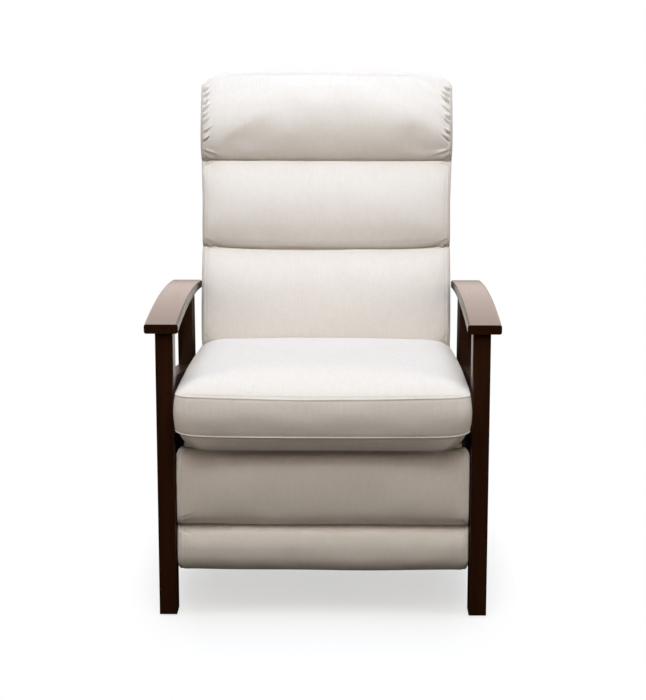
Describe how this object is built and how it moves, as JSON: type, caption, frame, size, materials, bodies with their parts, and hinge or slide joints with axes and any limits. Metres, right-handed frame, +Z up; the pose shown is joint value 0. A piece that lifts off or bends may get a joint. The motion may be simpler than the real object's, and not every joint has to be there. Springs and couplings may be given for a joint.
{
  "type": "push-back recliner",
  "caption": "Push-back recliner with open wooden arms, channelled back, swinging seat and a footrest that folds out from under the seat.",
  "frame": {"origin": "On the floor, under the middle of the upright chair's bounding box.", "axes": "+X across the chair to the right as seen from the front, +Y to the rear, +Z up. Upright at rest; the footrest is folded under the seat."},
  "size_m": [0.7, 0.8042, 1.0602],
  "materials": {
    "walnut": "dark walnut stain under satin lacquer",
    "upholstery": "off-white linen weave with a fine slub",
    "board_cover": "off-white linen weave, stretched flat",
    "webbing": "black woven webbing and dust cloth",
    "frame_wood": "bare beech and plywood",
    "mechanism_steel": "black powder coat",
    "zinc_steel": "zinc plated steel",
    "glide": "moulded plastic glide"
  },
  "bodies": {
    "frame": {"left_arm": "walnut", "right_arm": "walnut", "left_front_leg": "walnut", "right_front_leg": "walnut", "left_rear_leg": "walnut", "right_rear_leg": "walnut", "left_side_rail": "walnut", "right_side_rail": "walnut", "rear_cross_rail": "walnut", "front_cross_tube": "mechanism_steel", "foot_glides": "glide", "frame_dowels": "frame_wood", "left_base_plate": "mechanism_steel", "right_base_plate": "mechanism_steel", "base_plate_screws": "zinc_steel", "base_pivot_studs": "zinc_steel", "left_return_spring": "zinc_steel", "right_return_spring": "zinc_steel"},
    "front_swing": {"left_front_swing_link": "mechanism_steel", "right_front_swing_link": "mechanism_steel"},
    "rear_swing": {"left_rear_swing_link": "mechanism_steel", "right_rear_swing_link": "mechanism_steel"},
    "seat": {"left_seat_plate": "mechanism_steel", "right_seat_plate": "mechanism_steel", "seat_plate_screws": "zinc_steel", "seat_pivot_studs": "zinc_steel", "left_seat_rail": "frame_wood", "right_seat_rail": "frame_wood", "front_seat_rail": "frame_wood", "rear_seat_rail": "frame_wood", "seat_front_board": "board_cover", "seat_deck": "webbing", "seat_springs": "zinc_steel", "seat_cushion": "upholstery"},
    "back": {"left_back_stile": "frame_wood", "right_back_stile": "frame_wood", "top_back_rail": "frame_wood", "lower_back_rail": "frame_wood", "back_webbing": "webbing", "left_back_bracket": "mechanism_steel", "right_back_bracket": "mechanism_steel", "back_bracket_bolts": "zinc_steel", "back_cover": "upholstery", "back_cushion": "upholstery"},
    "drive": {"left_drive_link": "mechanism_steel", "right_drive_link": "mechanism_steel", "drive_shaft": "zinc_steel"},
    "carrier": {"left_carrier_link": "mechanism_steel", "right_carrier_link": "mechanism_steel", "carrier_rod": "zinc_steel"},
    "parallel": {"left_parallel_link": "mechanism_steel", "right_parallel_link": "mechanism_steel"},
    "control": {"left_control_link": "mechanism_steel", "right_control_link": "mechanism_steel"},
    "footrest": {"left_footrest_bracket": "mechanism_steel", "right_footrest_bracket": "mechanism_steel", "footrest_board": "frame_wood", "footrest_pad": "upholstery", "footrest_rivets": "zinc_steel", "footrest_screws": "zinc_steel"}
  },
  "joints": [
    {"name": "recline", "type": "hinge", "parent": "frame", "child": "front_swing", "pos_m": [0, -0.26422, 0.27128], "axis": [1, 0, 0], "range_deg": [0, 45], "stiffness_Nm_per_rad": 12, "springref_deg": -45.84},
    {"name": "rear_swing_turn", "type": "hinge", "parent": "frame", "child": "rear_swing", "pos_m": [0, -0.03422, 0.27128], "axis": [1, 0, 0], "range_deg": [0, 45]},
    {"name": "seat_level", "type": "hinge", "parent": "front_swing", "child": "seat", "pos_m": [0, -0.2126, 0.345], "axis": [-1, 0, 0], "range_deg": [0, 45]},
    {"name": "back_tilt", "type": "hinge", "parent": "seat", "child": "back", "pos_m": [0, 0.0874, 0.36], "axis": [-1, 0, 0], "range_deg": [0, 38]},
    {"name": "footrest_drive", "type": "hinge", "parent": "seat", "child": "drive", "pos_m": [0, -0.1776, 0.28], "axis": [-1, 0, 0], "range_deg": [0, 95]},
    {"name": "footrest_carry", "type": "hinge", "parent": "drive", "child": "carrier", "pos_m": [0, -0.09308, 0.09874], "axis": [1, 0, 0], "range_deg": [0, 95]},
    {"name": "footrest_tilt", "type": "hinge", "parent": "carrier", "child": "footrest", "pos_m": [0, -0.27569, 0.23988], "axis": [-1, 0, 0], "range_deg": [0, 95]},
    {"name": "parallel_turn", "type": "hinge", "parent": "seat", "child": "parallel", "pos_m": [0, -0.1412, 0.25187], "axis": [-1, 0, 0], "range_deg": [0, 95]},
    {"name": "control_turn", "type": "hinge", "parent": "drive", "child": "control", "pos_m": [0, -0.07448, 0.05886], "axis": [1, 0, 0], "range_deg": [0, 95]}
  ],
  "couplings": [
    {"joint": "rear_swing_turn", "follows": "recline", "ratio": 1},
    {"joint": "seat_level", "follows": "recline", "ratio": 1},
    {"joint": "back_tilt", "follows": "recline", "ratio": 0.84444},
    {"joint": "footrest_drive", "follows": "recline", "ratio": 2.1111},
    {"joint": "footrest_carry", "follows": "recline", "ratio": 2.1111},
    {"joint": "footrest_tilt", "follows": "recline", "ratio": 2.1111},
    {"joint": "parallel_turn", "follows": "recline", "ratio": 2.1111},
    {"joint": "control_turn", "follows": "recline", "ratio": 2.1111}
  ]
}
